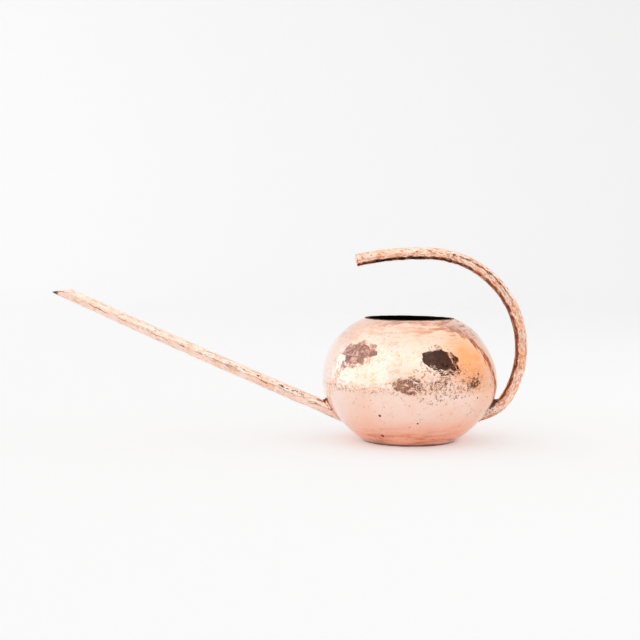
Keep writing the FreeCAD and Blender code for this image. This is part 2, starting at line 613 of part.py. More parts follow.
# Each separate piece of the can, named as its file
pieces = {
    "lower_bowl": lower_raw,
    "upper_bowl": upper_bowl,
    "belly_solder": belly_solder,
    "base_disc": base_disc,
    "base_solder": base_solder,
    "spout_tube": spout_tube,
    "spout_solder": spout_solder,
    "handle_tube": handle_tube,
    "handle_solder": handle_solder,
    "handle_end_cap": handle_end_cap,
    "handle_cap_solder": handle_cap_solder,
}
for name, piece in pieces.items():
    piece.Label = name

for item in doc.Objects:
    if "Invalid" in item.State or "Error" in item.State:
        raise RuntimeError(item.Name + " did not build: " + str(item.State))
    if item.TypeId == "Sketcher::SketchObject" and not item.FullyConstrained:
        raise RuntimeError(item.Name + " is not fully constrained")
for name, piece in pieces.items():
    if piece.Shape.isNull() or not piece.Shape.isValid() or len(piece.Shape.Solids) != 1:
        raise RuntimeError(name + " is not one sound solid")
if lower_raw.Shape.Volume >= lower_raw.Group[-3].Shape.Volume:
    raise RuntimeError("the spout's hole cut nothing")

for name, piece in pieces.items():
    piece.Shape.exportStep("parts/" + name + ".step")
    box = piece.Shape.BoundBox
    print(name, round(piece.Shape.Volume, 1), "mm3")
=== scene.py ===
import math
import random

import bpy
import numpy as np
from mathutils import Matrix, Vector, kdtree


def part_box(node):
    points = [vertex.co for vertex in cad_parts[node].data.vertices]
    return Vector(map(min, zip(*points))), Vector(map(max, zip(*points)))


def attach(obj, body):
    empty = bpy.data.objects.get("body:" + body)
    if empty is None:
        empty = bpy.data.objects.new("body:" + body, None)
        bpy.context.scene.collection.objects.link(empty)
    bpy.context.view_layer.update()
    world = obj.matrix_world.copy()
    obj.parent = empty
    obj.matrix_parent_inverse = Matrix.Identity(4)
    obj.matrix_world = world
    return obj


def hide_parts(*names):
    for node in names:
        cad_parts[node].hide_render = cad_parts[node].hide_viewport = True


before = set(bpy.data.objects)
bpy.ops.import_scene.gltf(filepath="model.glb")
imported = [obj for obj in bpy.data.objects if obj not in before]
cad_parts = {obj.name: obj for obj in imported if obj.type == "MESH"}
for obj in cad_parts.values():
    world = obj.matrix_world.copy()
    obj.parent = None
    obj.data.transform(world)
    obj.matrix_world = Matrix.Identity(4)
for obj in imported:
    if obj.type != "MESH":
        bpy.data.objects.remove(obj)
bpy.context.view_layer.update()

print("frame loaded:", len(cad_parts), "nodes")


def pick(piece):
    bpy.ops.object.select_all(action="DESELECT")
    piece.select_set(True)
    bpy.context.view_layer.objects.active = piece


def addPiece(name, add, **settings):
    bpy.ops.object.select_all(action="DESELECT")
    add(**settings)
    piece = bpy.context.object
    piece.name = name
    piece.data.name = name
    return piece


def settle(piece):
    pick(piece)
    bpy.ops.object.transform_apply(location=True, rotation=True, scale=True)


def startEdit(piece, kind="VERT"):
    pick(piece)
    bpy.ops.object.mode_set(mode="EDIT")
    bpy.ops.mesh.select_mode(type=kind)
    bpy.ops.mesh.select_all(action="SELECT")


def endEdit():
    bpy.ops.mesh.select_mode(type="VERT")
    bpy.ops.object.mode_set(mode="OBJECT")


def addModifier(piece, kind, **settings):
    pick(piece)
    modifier = piece.modifiers.new(kind.lower(), kind)
    for key, value in settings.items():
        setattr(modifier, key, value)
    bpy.ops.object.modifier_apply(modifier=modifier.name)


def cutAway(piece, cutter):
    addModifier(piece, "BOOLEAN", operation="DIFFERENCE", object=cutter, solver="EXACT")
    bpy.data.objects.remove(cutter)


def points(piece, field="co"):
    found = np.empty(len(piece.data.vertices) * 3)
    piece.data.vertices.foreach_get(field, found)
    return found.reshape(-1, 3)


def movePoints(piece, places):
    piece.data.vertices.foreach_set("co", places.ravel())
    piece.data.update()


def recalculate(piece, gap=0.00002):
    startEdit(piece)
    bpy.ops.mesh.remove_doubles(threshold=gap)
    bpy.ops.mesh.normals_make_consistent(inside=False)
    endEdit()


def smooth(piece, angle):
    pick(piece)
    bpy.ops.object.shade_smooth_by_angle(angle=math.radians(angle))


def facing(direction):
    return direction.to_track_quat("Z", "Y").to_euler()


def hump(value, middle, width):
    return np.exp(-((value - middle) / width) ** 2)


# every blow presses a shallow hollow, and neighbouring hollows meet in a soft ridge
def strike(places, blows, depth, reach, unevenness=0.35):
    felt = 4                      # blows that shape one point
    crispness = 5                 # of the ridges between hollows
    tree = kdtree.KDTree(len(blows))
    for index, blow in enumerate(blows):
        tree.insert(blow, index)
    tree.balance()
    chance = random.Random(len(blows))
    depths = [depth * (1 + unevenness * chance.uniform(-1, 1)) for _ in blows]
    found = [tree.find_n(place, felt) for place in places]
    nearest = np.array([[depths[index] for _, index, _ in row] for row in found])
    distances = np.array([[distance for _, _, distance in row] for row in found])
    hollows = nearest / depth - (distances / reach) ** 2
    return depth * np.maximum(np.log(np.exp(crispness * hollows).sum(1)) / crispness, 0)


# both bowls are turned from this outline
bodyForm = {
    "baseRadius": 0.0425,
    "kneeRadius": 0.040,          # bend under the belly
    "kneeTurn": math.radians(30),
    "mouthRadius": 0.0415,
    "wall": 0.0012,
    "film": 0.0003,               # solder between two seated faces
    "lap": 0.006,                 # lip of the lower bowl inside the upper one
    "joggle": 0.003,
    "footRound": 0.0009,
    "footCorner": 0.3,            # how near the foot's rounding comes to its corner
    "rimRound": 0.00035,          # worn corners of the rim, and their shares across and down
    "rimOutside": ((0.5, 0.2), (1.2, 0)),
    "rimInside": ((1, 0), (0.3, 0.3)),
    "around": 560,
    "outerStep": 0.00105,
    "innerStep": 0.0035,
}
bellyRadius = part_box("lower_bowl")[1].x
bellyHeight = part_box("upper_bowl")[0].z - bodyForm["film"]
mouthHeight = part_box("upper_bowl")[1].z

kneeX = bellyRadius - bodyForm["kneeRadius"]
bendX = kneeX + bodyForm["kneeRadius"] * math.cos(bodyForm["kneeTurn"])
bendZ = bellyHeight - bodyForm["kneeRadius"] * math.sin(bodyForm["kneeTurn"])
chordX = bodyForm["baseRadius"] - bendX
chordAlong = chordX * math.cos(bodyForm["kneeTurn"]) + bendZ * math.sin(bodyForm["kneeTurn"])
flankRadius = -(chordX ** 2 + bendZ ** 2) / (2 * chordAlong)
flankX = bendX - flankRadius * math.cos(bodyForm["kneeTurn"])
flankZ = bendZ + flankRadius * math.sin(bodyForm["kneeTurn"])
shoulderRun = bellyRadius - bodyForm["mouthRadius"]
shoulderRise = mouthHeight - bellyHeight
shoulderRadius = (shoulderRun ** 2 + shoulderRise ** 2) / (2 * shoulderRun)
shoulderX = bellyRadius - shoulderRadius


def arcAt(centreX, centreZ, radius, height):
    return centreX + np.sqrt(np.maximum(radius ** 2 - (height - centreZ) ** 2, 0))


def bodyRadius(height, inset=0.0):
    flank = arcAt(flankX, flankZ, flankRadius - inset, height)
    knee = arcAt(kneeX, bellyHeight, bodyForm["kneeRadius"] - inset, height)
    shoulder = arcAt(shoulderX, bellyHeight, shoulderRadius - inset, height)
    return np.where(height < bendZ, flank, np.where(height < bellyHeight, knee, shoulder))


# points along the body's outline, evenly spaced
def outlineRun(low, high, step, inset=0.0, samples=4000):
    fine = np.linspace(low, high, samples)
    radii = bodyRadius(fine, inset)
    length = np.concatenate([[0], np.cumsum(np.hypot(np.diff(radii), np.diff(fine)))])
    count = max(2, round(length[-1] / step) + 1)
    heights = np.interp(np.linspace(0, length[-1], count), length, fine)
    return [(float(bodyRadius(height, inset)), float(height)) for height in heights]


# a point is drawn out along the profile, and that line is spun round
def turnProfile(name, profile, around):
    first = profile[0]
    piece = addPiece(name, bpy.ops.mesh.primitive_plane_add, size=0.001, location=(first[0], 0, first[1]))
    settle(piece)
    startEdit(piece)
    bpy.ops.mesh.merge(type="CENTER")
    for here, there in zip(profile, profile[1:]):
        step = (there[0] - here[0], 0, there[1] - here[1])
        bpy.ops.mesh.extrude_region_move(TRANSFORM_OT_translate={"value": step})
    bpy.ops.mesh.select_all(action="SELECT")
    bpy.ops.mesh.spin(steps=around, angle=2 * math.pi, center=(0, 0, 0), axis=(0, 0, 1))
    endEdit()
    recalculate(piece)
    return piece


def closed(profile):
    return profile + [profile[0]]


def lowerProfile():
    f = bodyForm
    wall, film, soft = f["wall"], f["film"], f["footRound"]
    outer = outlineRun(soft, bellyHeight, f["outerStep"])
    corner = f["footCorner"] * soft
    outer = [(outer[0][0] - soft, 0.0), (outer[0][0] - corner, corner)] + outer
    lipTop = bellyHeight + f["lap"]
    lipOut = outlineRun(bellyHeight + film, lipTop, f["innerStep"], wall + film)
    lipIn = outlineRun(bellyHeight, lipTop, f["innerStep"], 2 * wall + film)[::-1]
    inner = outlineRun(0.0, bellyHeight - f["joggle"], f["innerStep"], wall)[::-1]
    return closed(outer + lipOut + lipIn + inner)


def upperProfile():
    f = bodyForm
    soft = f["rimRound"]
    outer = outlineRun(bellyHeight, mouthHeight - soft, f["outerStep"])
    inner = outlineRun(bellyHeight + f["film"], mouthHeight - soft, f["innerStep"], f["wall"])[::-1]
    rim = [(outer[-1][0] - across * soft, mouthHeight - down * soft) for across, down in f["rimOutside"]]
    rim += [(inner[0][0] + across * soft, mouthHeight - down * soft) for across, down in f["rimInside"]]
    return closed(outer + rim + inner)


lowerBowl = turnProfile("lower_bowl_hammered", lowerProfile(), bodyForm["around"])
upperBowl = turnProfile("upper_bowl_hammered", upperProfile(), bodyForm["around"])
print("bowls turned:", len(lowerBowl.data.polygons), len(upperBowl.data.polygons))

planish = {
    "spacing": 0.0068,
    "depth": 0.00017,
    "fineSpacing": 0.0036,
    "fineDepth": 0.000030,
    "reach": 0.62,                # radius of a hollow, as a share of the spacing
    "bellyFine": 2.8,             # more small blows along the belly, where the bowls were joined
    "bellyAt": 0.062,
    "bellyWidth": 0.016,
    "scatter": 0.40,              # share of the spacing that a blow strays round its ring
    "levelScatter": 0.6,          # part of that by which it strays up and down
    "ringGap": 0.87,
    "firstRing": 0.002,
    "lastRing": 0.001,            # below the mouth
    "edgeGap": 0.0005,
    "wander": 0.00022,            # slow unevenness of the raised sheet
    "wanderScale": 0.055,
    "wanderMiddle": 0.6,
    "wanderFrom": 0.012,          # the foot stays flat and round
    "lean": 0.0013,               # shoulder stands fuller towards the spout
    "leanHeight": 0.092,
    "leanWidth": 0.019,
    "rimWave": 0.0007,
    "rimWaveFrom": 0.100,
    "dings": (((-0.0080, -0.0821, 0.0570), 0.0090, 0.0006),    # place, width and depth
              ((-0.0080, -0.0800, 0.0445), 0.0075, -0.0006)),
    "outerSkin": 0.0003,          # how far under the outline the hammer is felt
    "innerSkin": 0.0004,          # how far under it the dark inside begins
    "rimSkin": 0.0005,
}


def bodyBlows(spacing, seed):
    f = planish
    chance = random.Random(seed)
    blows = []
    rings = outlineRun(f["firstRing"], mouthHeight - f["lastRing"], spacing * f["ringGap"])
    for radius, height in rings:
        count = max(6, round(2 * math.pi * radius / spacing))
        start = chance.random()
        for index in range(count):
            angle = 2 * math.pi * (index + start + chance.uniform(-1, 1) * f["scatter"]) / count
            level = height + chance.uniform(-1, 1) * f["scatter"] * spacing * f["levelScatter"]
            level = min(max(level, f["edgeGap"]), mouthHeight - f["edgeGap"])
            reach = float(bodyRadius(level))
            blows.append((reach * math.cos(angle), reach * math.sin(angle), level))
    return blows


def slowNoise(places, scale, seed, waves=7):
    chance = np.random.default_rng(seed)
    total = np.zeros(len(places))
    for _ in range(waves):
        direction = chance.normal(size=3)
        direction /= np.linalg.norm(direction)
        total += np.sin(places @ direction * 2 * math.pi / scale + chance.uniform(0, 2 * math.pi))
    return total / waves


def hammerBowl(piece, nudge=0.0002):
    f = planish
    places = points(piece)
    heights = places[:, 2]
    radii = np.hypot(places[:, 0], places[:, 1])
    aside = places[:, :2] / radii[:, None]
    slope = (bodyRadius(heights + nudge) - bodyRadius(heights - nudge)) / (2 * nudge)
    outward = np.column_stack([aside, -slope])
    outward /= np.linalg.norm(outward, axis=1)[:, None]

    outside = radii > bodyRadius(heights) - f["outerSkin"]
    struck = places[outside]
    pressed = np.zeros(len(places))
    pressed[outside] = strike(struck, bodyBlows(f["spacing"], 11), f["depth"], f["spacing"] * f["reach"])
    fine = strike(struck, bodyBlows(f["fineSpacing"], 12), f["fineDepth"], f["fineSpacing"] * f["reach"])
    pressed[outside] += fine * (1 + f["bellyFine"] * hump(struck[:, 2], f["bellyAt"], f["bellyWidth"]))
    for place, width, depth in f["dings"]:
        pressed += depth * np.exp(-((places - np.array(place)) ** 2).sum(1) / width ** 2)
    moved = places - outward * pressed[:, None]

    slow = f["wander"] * (slowNoise(places, f["wanderScale"], 3) - f["wanderMiddle"])
    slow *= np.clip(heights / f["wanderFrom"], 0, 1)
    moved[:, :2] += aside * slow[:, None]
    moved[:, 0] -= f["lean"] * hump(heights, f["leanHeight"], f["leanWidth"])
    rim = np.clip((heights - f["rimWaveFrom"]) / (mouthHeight - f["rimWaveFrom"]), 0, 1) ** 2
    moved[:, 2] -= f["rimWave"] * rim * aside[:, 0] * (0.5 + 0.5 * aside[:, 1])

    # first material outside, and the second one inside and on the rim's top
    inside = (radii < bodyRadius(heights) - f["innerSkin"]) | (heights > mouthHeight - f["rimSkin"])
    piece.data.materials.append(None)
    piece.data.materials.append(None)
    for face in piece.data.polygons:
        face.material_index = int(inside[list(face.vertices)].all())
    movePoints(piece, moved)


for bowl in (lowerBowl, upperBowl):
    hammerBowl(bowl)
print("bowls hammered")

# film between the two bowls, with a small bead on the lip's upper edge
bellySolderForm = {
    "step": 0.001,
    "beadRise": 0.0013,
    "beadBulge": ((0.0007, 0.0006), (0.0009, 0)),    # in from the lip, and up
    "around": 280,
}


def bellySolderProfile():
    f = bellySolderForm
    wall, film, lipTop = bodyForm["wall"], bodyForm["film"], bellyHeight + bodyForm["lap"]
    upward = outlineRun(bellyHeight + film, lipTop, f["step"], wall)
    downward = outlineRun(bellyHeight + film, lipTop, f["step"], wall + film)[::-1]
    lipEdge = float(bodyRadius(lipTop, wall + film))
    bead = [(float(bodyRadius(lipTop + f["beadRise"], wall)), lipTop + f["beadRise"])]
    bead += [(lipEdge - inward, lipTop + rise) for inward, rise in f["beadBulge"]]
    return closed(upward + bead + downward)


bellySolder = turnProfile("belly_solder_ring", bellySolderProfile(), bellySolderForm["around"])

# tapered tube, coped to the body and cut aslant at the tip
spoutForm = {
    "height": 0.032,              # axis of the spout where it crosses the belly radius
    "rise": math.radians(24),
    "length": 0.2755,
    "sunk": 0.030,                # part inside the belly radius, before the coping
    "rootRadius": 0.0063,
    "tipRadius": 0.0055,
    "wall": 0.001,
    "land": 0.0005,               # blunt edge left at the lowest point of the tip
    "cut": math.radians(31),
    "cutLean": math.radians(12),
    "sawSize": 0.08,
    "holeAround": 48,
    "sag": 0.0011,
    "around": 72,
    "rows": 340,
    "blowLength": 0.0100,
    "blowWidth": 0.0050,
    "blowTaper": 0.0008 / 0.3,    # blows follow the tube as it narrows
    "depth": 0.00030,
    "seed": 21,
}
sideways = Vector((0, 1, 0))
spoutAlong = Vector((-math.cos(spoutForm["rise"]), 0, math.sin(spoutForm["rise"])))
spoutDown = Vector((-math.sin(spoutForm["rise"]), 0, -math.cos(spoutForm["rise"])))
spoutRoot = Vector((-bellyRadius, 0, spoutForm["height"]))


# open ring of edges, left in edit mode with all of it selected
def startRing(name, around, radius, at, direction):
    ring = addPiece(name, bpy.ops.mesh.primitive_circle_add, vertices=around, radius=radius, location=at,
                    rotation=facing(direction))
    settle(ring)
    startEdit(ring, "EDGE")
    return ring


def makeSpout():
    f = spoutForm
    taper = (f["rootRadius"] - f["tipRadius"]) / f["length"]
    whole = f["length"] + f["sunk"]
    startRadius = f["rootRadius"] + taper * f["sunk"]
    shrink = (f["tipRadius"] / startRadius) ** (1 / f["rows"])
    start = spoutRoot - spoutAlong * f["sunk"]
    piece = startRing("spout_hammered", f["around"], startRadius, start, spoutAlong)
    for row in range(1, f["rows"] + 1):
        bpy.ops.mesh.extrude_edges_move(TRANSFORM_OT_translate={"value": spoutAlong * whole / f["rows"]})
        centre = spoutRoot + spoutAlong * (whole * row / f["rows"] - f["sunk"])
        bpy.ops.transform.resize(value=(shrink, shrink, shrink), center_override=centre)
    endEdit()
    recalculate(piece)
    return piece


# tubes are forged with long blows, and then gone over with small ones
tubeBlows = {
    "rowOverlap": 1.15,
    "startScatter": 0.15,
    "aroundScatter": 0.22,
    "alongScatter": 0.35,
    "reach": 0.62,
    "passes": ({"length": 1, "width": 1, "depth": 1, "unevenness": 0.5},
               {"length": 0.42, "width": 0.5, "depth": 0.22, "unevenness": 0.6}),
}


def placeBlows(length, radiusAt, blowLength, blowWidth, seed):
    f = tubeBlows
    chance = random.Random(seed)
    blows = []
    squash = blowWidth / blowLength
    rows = round(length / blowLength * f["rowOverlap"])
    for row in range(rows + 1):
        at = length * row / rows
        radius = radiusAt(at)
        count = round(2 * math.pi * radius / blowWidth)
        start = 0.5 * (row % 2) + chance.uniform(-f["startScatter"], f["startScatter"])
        for index in range(count):
            stray = chance.uniform(-f["aroundScatter"], f["aroundScatter"])
            angle = 2 * math.pi * (index + start + stray) / count
            here = at + chance.uniform(-f["alongScatter"], f["alongScatter"]) * blowLength
            blows.append((here * squash, radius * math.cos(angle), radius * math.sin(angle)))
    return blows


# "along", "across" and "side" say where each point lies on the straight tube
def hammerTube(piece, form, along, across, side, length, radiusAt, fade=1.0):
    outward = side * across[:, :1] + np.array(sideways) * across[:, 1:]
    outward /= np.linalg.norm(outward, axis=1)[:, None]
    if (points(piece, "normal") * outward).sum() < 0:
        startEdit(piece)
        bpy.ops.mesh.flip_normals()
        endEdit()
    squash = form["blowWidth"] / form["blowLength"]
    straight = np.column_stack([along * squash, across])
    pressed = np.zeros(len(along))
    for turn, blow in enumerate(tubeBlows["passes"]):
        blowLength, blowWidth = form["blowLength"] * blow["length"], form["blowWidth"] * blow["width"]
        blows = placeBlows(length, radiusAt, blowLength, blowWidth, form["seed"] + turn)
        pressed += strike(straight, blows, form["depth"] * blow["depth"], blowWidth * tubeBlows["reach"],
                          blow["unevenness"])
    pressed *= fade
    movePoints(piece, points(piece) - outward * pressed[:, None])
    dent = piece.data.attributes.new("dent", "FLOAT", "POINT")
    dent.data.foreach_set("value", (pressed / form["depth"]).astype(np.float32))
    track = piece.data.attributes.new("track", "FLOAT_VECTOR", "POINT")
    track.data.foreach_set("vector", np.column_stack([along, across]).ravel().astype(np.float32))


# a tube's wall grows inwards from its hammered skin, and its root is cut to the body's curve
coping = {
    "inset": 0.0006,              # how far a tube's root reaches into the bowl's wall
    "step": 0.002,
    "around": 160,
}


def giveWall(piece, thickness):
    addModifier(piece, "SOLIDIFY", thickness=thickness, offset=-1, use_rim=True)


def copeToBody(piece):
    profile = outlineRun(0.0, mouthHeight, coping["step"], coping["inset"])
    profile = [(0.0, 0.0)] + profile + [(0.0, mouthHeight)]
    cutAway(piece, turnProfile("coping_form", profile, coping["around"]))


def tipSaw():
    f = spoutForm
    leanDown = spoutDown * math.cos(f["cutLean"]) - sideways * math.sin(f["cutLean"])
    leanSide = -sideways * math.cos(f["cutLean"]) - spoutDown * math.sin(f["cutLean"])
    cutAlong = -spoutAlong * math.cos(f["cut"]) - leanDown * math.sin(f["cut"])
    cutNormal = leanSide.cross(cutAlong).normalized()
    land = spoutRoot + spoutAlong * f["length"] + leanDown * (f["tipRadius"] - f["land"])
    return addPiece("tip_saw", bpy.ops.mesh.primitive_cube_add, size=f["sawSize"],
                    location=land + cutNormal * (f["sawSize"] / 2), rotation=facing(cutNormal))


def holeCutter():
    f = spoutForm
    return addPiece("hole_cutter", bpy.ops.mesh.primitive_cylinder_add, vertices=f["holeAround"],
                    radius=f["rootRadius"] - f["wall"], depth=2 * f["sunk"], location=spoutRoot,
                    rotation=facing(spoutAlong))


spout = makeSpout()
offset = points(spout) - np.array(spoutRoot)
along = offset @ np.array(spoutAlong)
across = np.column_stack([offset @ np.array(spoutDown), offset[:, 1]])
hammerTube(spout, spoutForm, along + spoutForm["sunk"], across, np.array(spoutDown),
           spoutForm["length"] + spoutForm["sunk"],
           lambda at: spoutForm["rootRadius"] - spoutForm["blowTaper"] * at)
sagging = spoutForm["sag"] * np.sin(math.pi * np.clip(along / spoutForm["length"], 0, 1))
movePoints(spout, points(spout) + np.array(spoutDown) * sagging[:, None])
giveWall(spout, spoutForm["wall"])
cutAway(spout, tipSaw())
copeToBody(spout)
cutAway(lowerBowl, holeCutter())
print("spout made:", len(spout.data.polygons))

# one open tube: crook, bow and flatter grip
handleForm = {
    "radius": 0.006,
    "wall": 0.001,
    "bowCentre": (0.016, 0.0868),
    "bowRadius": 0.089,
    "bowLow": math.radians(30),
    "bowHigh": math.radians(88),
    "gripRadius": 0.276,
    "gripTurn": math.radians(14.3),
    "crookRadius": 0.038,
    "crookTurn": math.radians(40),
    "rootLength": 0.025,
    "endPlain": 0.003,            # blows fade out before the end cap
    "around": 72,
    "step": 0.0009,
    "blowLength": 0.0066,
    "blowWidth": 0.0046,
    "depth": 0.00034,
    "seed": 31,
}


# each bend has a centre, a radius, the angle that it turns and the angle where it starts
def handleCentres():
    f = handleForm
    bow = Vector((f["bowCentre"][0], 0, f["bowCentre"][1]))
    low, high = f["bowLow"], f["bowHigh"]
    crook = bow + Vector((math.cos(low), 0, -math.sin(low))) * (f["bowRadius"] - f["crookRadius"])
    grip = bow - Vector((math.cos(high), 0, math.sin(high))) * (f["gripRadius"] - f["bowRadius"])
    heading = math.pi / 2 - low - f["crookTurn"]
    start = crook + Vector((math.sin(heading), 0, -math.cos(heading))) * f["crookRadius"]
    root = start - Vector((math.cos(heading), 0, math.sin(heading))) * f["rootLength"]
    return root, heading, ((crook, f["crookRadius"], f["crookTurn"], -low - f["crookTurn"]),
                           (bow, f["bowRadius"], low + high, -low),
                           (grip, f["gripRadius"], f["gripTurn"], high))


def makeHandle():
    f = handleForm
    root, heading, bends = handleCentres()
    direction = Vector((math.cos(heading), 0, math.sin(heading)))
    piece = startRing("handle_hammered", f["around"], f["radius"], root, direction)
    steps = round(f["rootLength"] / f["step"])
    for _ in range(steps):
        move = {"value": direction * f["rootLength"] / steps}
        bpy.ops.mesh.extrude_edges_move(TRANSFORM_OT_translate=move)
    for centre, radius, turned, _ in bends:
        steps = round(radius * turned / f["step"])
        bpy.ops.mesh.spin(steps=steps, angle=turned, center=centre, axis=sideways)
    endEdit()
    recalculate(piece)
    return piece


# centre line of the handle: length so far, place in x and z, and direction in x and z
def handleLine(step=0.0002):
    root, heading, bends = handleCentres()
    rows = []
    length = handleForm["rootLength"]
    headX, headZ = math.cos(heading), math.sin(heading)
    for at in np.arange(0, length, step):
        rows.append((at, root.x + at * headX, root.z + at * headZ, headX, headZ))
    for centre, radius, turned, first in bends:
        for at in np.arange(0, radius * turned, step):
            angle = first + at / radius
            outX, outZ = math.cos(angle), math.sin(angle)
            rows.append((length + at, centre.x + radius * outX, centre.z + radius * outZ, -outZ, outX))
        length += radius * turned
    return np.array(rows), length


def followLine(places, rows):
    tree = kdtree.KDTree(len(rows))
    for index, row in enumerate(rows):
        tree.insert((row[1], 0, row[2]), index)
    tree.balance()
    nearest = np.array([tree.find((place[0], 0, place[2]))[1] for place in places])
    lengthHere, lineX, lineZ, headX, headZ = rows[nearest].T
    offX, offZ = places[:, 0] - lineX, places[:, 2] - lineZ
    side = np.column_stack([headZ, np.zeros(len(headZ)), -headX])
    return lengthHere, np.column_stack([offX * headZ - offZ * headX, places[:, 1]]), side


handle = makeHandle()
lineRows, handleLength = handleLine()
along, across, side = followLine(points(handle), lineRows)
hammerTube(handle, handleForm, along, across, side, handleLength, lambda at: handleForm["radius"],
           np.clip((handleLength - along) / handleForm["endPlain"], 0, 1))
giveWall(handle, handleForm["wall"])
copeToBody(handle)
print("handle made:", len(handle.data.polygons))

for piece in (lowerBowl, upperBowl, spout, handle):
    smooth(piece, angle=40)

copperTone = {
    "bright": (0.985, 0.740, 0.640, 1),
    "warm": (0.965, 0.600, 0.440, 1),
    "paintedLightLeft": (0.985, 0.810, 0.735, 1),
    "straw": (0.975, 0.740, 0.520, 1),
    "cloudy": (0.905, 0.540, 0.340, 1),
    "shaded": (0.920, 0.480, 0.290, 1),
    "shoulder": (0.930, 0.575, 0.440, 1),
    "heated": (0.940, 0.375, 0.150, 1),
    "foot": (0.965, 0.375, 0.205, 1),
    "paintedContactShade": (0.230, 0.090, 0.055, 1),
    "streak": (0.600, 0.270, 0.130, 1),
    "seam": (0.620, 0.270, 0.110, 1),
    "lowBrownStreaks": (0.400, 0.170, 0.100, 1),
    "brown": (0.330, 0.140, 0.080, 1),
    "freckle": (0.300, 0.120, 0.060, 1),
    "black": (0.020, 0.013, 0.010, 1),
    "stroke": (0.720, 0.255, 0.115, 1),
    "line": (0.560, 0.225, 0.110, 1),
    "edgeReflectionCore": (0.300, 0.110, 0.060, 1),
    "underside": (0.130, 0.055, 0.036, 1),
    "joint": (0.200, 0.080, 0.045, 1),
    "tipShade": (0.055, 0.040, 0.032, 1),
    "oxide": (0.014, 0.010, 0.008, 1),
    "oxideBrown": (0.040, 0.022, 0.015, 1),
    "oxideLit": (0.22, 0.13, 0.09, 1),
    "solder": (0.760, 0.720, 0.690, 1),
    "solderCrust": (0.160, 0.070, 0.045, 1),
    "solderDark": (0.120, 0.075, 0.055, 1),
}


def newMaterial(name, sockets):
    material = bpy.data.materials.new(name)
    material.use_nodes = True
    shader = material.node_tree.nodes["Principled BSDF"]
    for key, value in sockets.items():
        shader.inputs[key].default_value = value
    return material, material.node_tree, shader


def node(tree, kind, feeds=None, **settings):
    made = tree.nodes.new("ShaderNode" + kind)
    for key, value in settings.items():
        setattr(made, key, value)
    for key, value in (feeds or {}).items():
        if isinstance(value, bpy.types.NodeSocket):
            tree.links.new(value, made.inputs[key])
        else:
            made.inputs[key].default_value = value
    return made


def finishShader(tree, shader, tone, satin, relief=None, reliefDepth=0.0):
    tree.links.new(tone, shader.inputs["Base Color"])
    tree.links.new(satin, shader.inputs["Roughness"])
    if relief is not None:
        bump = node(tree, "Bump", {"Height": relief, "Strength": 1.0, "Distance": reliefDepth})
        tree.links.new(bump.outputs[0], shader.inputs["Normal"])


def noiseOf(tree, vector, scale, detail=4, roughness=0.55):
    feeds = {"Vector": vector, "Scale": scale, "Detail": detail, "Roughness": roughness}
    return node(tree, "TexNoise", feeds).outputs[0]


def ranged(tree, value, low, high, toLow=0.0, toHigh=1.0):
    feeds = {"Value": value, "From Min": low, "From Max": high, "To Min": toLow, "To Max": toHigh}
    return node(tree, "MapRange", feeds, interpolation_type="SMOOTHSTEP").outputs[0]


def maths(tree, operation, first, second=0.0):
    return node(tree, "Math", {0: first, 1: second}, operation=operation).outputs[0]


def chained(tree, operation, values):
    total = values[0]
    for value in values[1:]:
        total = maths(tree, operation, total, value)
    return total


def product(tree, *values):
    return chained(tree, "MULTIPLY", values)


def added(tree, *values):
    return chained(tree, "ADD", values)


def largest(tree, *values):
    return chained(tree, "MAXIMUM", values)


def awayFrom(tree, value, middle):
    return maths(tree, "ABSOLUTE", maths(tree, "SUBTRACT", value, middle))


def blendTone(tree, share, first, second):
    made = node(tree, "Mix", {"Factor": share}, data_type="RGBA")
    for socket, value in ((made.inputs[6], first), (made.inputs[7], second)):
        if isinstance(value, bpy.types.NodeSocket):
            tree.links.new(value, socket)
        else:
            socket.default_value = value
    return made.outputs[2]


def stretched(tree, place, factors):
    return node(tree, "Mapping", {"Vector": place, "Scale": factors}).outputs[0]


def distanceTo(tree, place, spot):
    return node(tree, "VectorMath", {0: place, 1: spot}, operation="DISTANCE").outputs["Value"]


# round patch with a ragged edge
def nearTo(tree, place, spot, radius, ragged, soft):
    edge = product(tree, maths(tree, "SUBTRACT", ragged, 0.5), radius * 1.1)
    apart = added(tree, distanceTo(tree, place, spot), edge)
    return ranged(tree, apart, radius * (1 - soft), radius * (1 + soft), 1.0, 0.0)


# a dot in the middle of some of the cells
def pits(tree, place, scale, radius, share):
    cell = node(tree, "TexVoronoi", {"Vector": place, "Scale": scale})
    chosen = node(tree, "SeparateColor", {0: cell.outputs["Color"]}).outputs[0]
    dot = ranged(tree, cell.outputs["Distance"], radius * scale * 0.5, radius * scale, 1.0, 0.0)
    return product(tree, dot, maths(tree, "LESS_THAN", chosen, share))


# where a coat lies: its strength, times each field between the limits given for it
def coverOf(tree, fields, strength, *reaches):
    cover = [ranged(tree, fields[name], *limits) if limits else fields[name] for name, *limits in reaches]
    return product(tree, *cover, strength)


def addCoats(tree, tone, fields, coats):
    for coat, *reaches in coats:
        tone = blendTone(tree, coverOf(tree, fields, *reaches), tone, copperTone[coat])
    return tone


# scale, detail and roughness of each grain on the body
bodyGrain = {
    "patches": (26, 4, 0.55),
    "ragged": (130, 5, 0.62),
    "clouds": (150, 6, 0.80),
    "ripple": (190, 2, 0.5),
    "blotches": (210, 4, 0.6),
    "scribble": (310, 2, 0.5),
    "speckle": (360, 3, 0.7),
    "fine": (520, 5, 0.65),
}
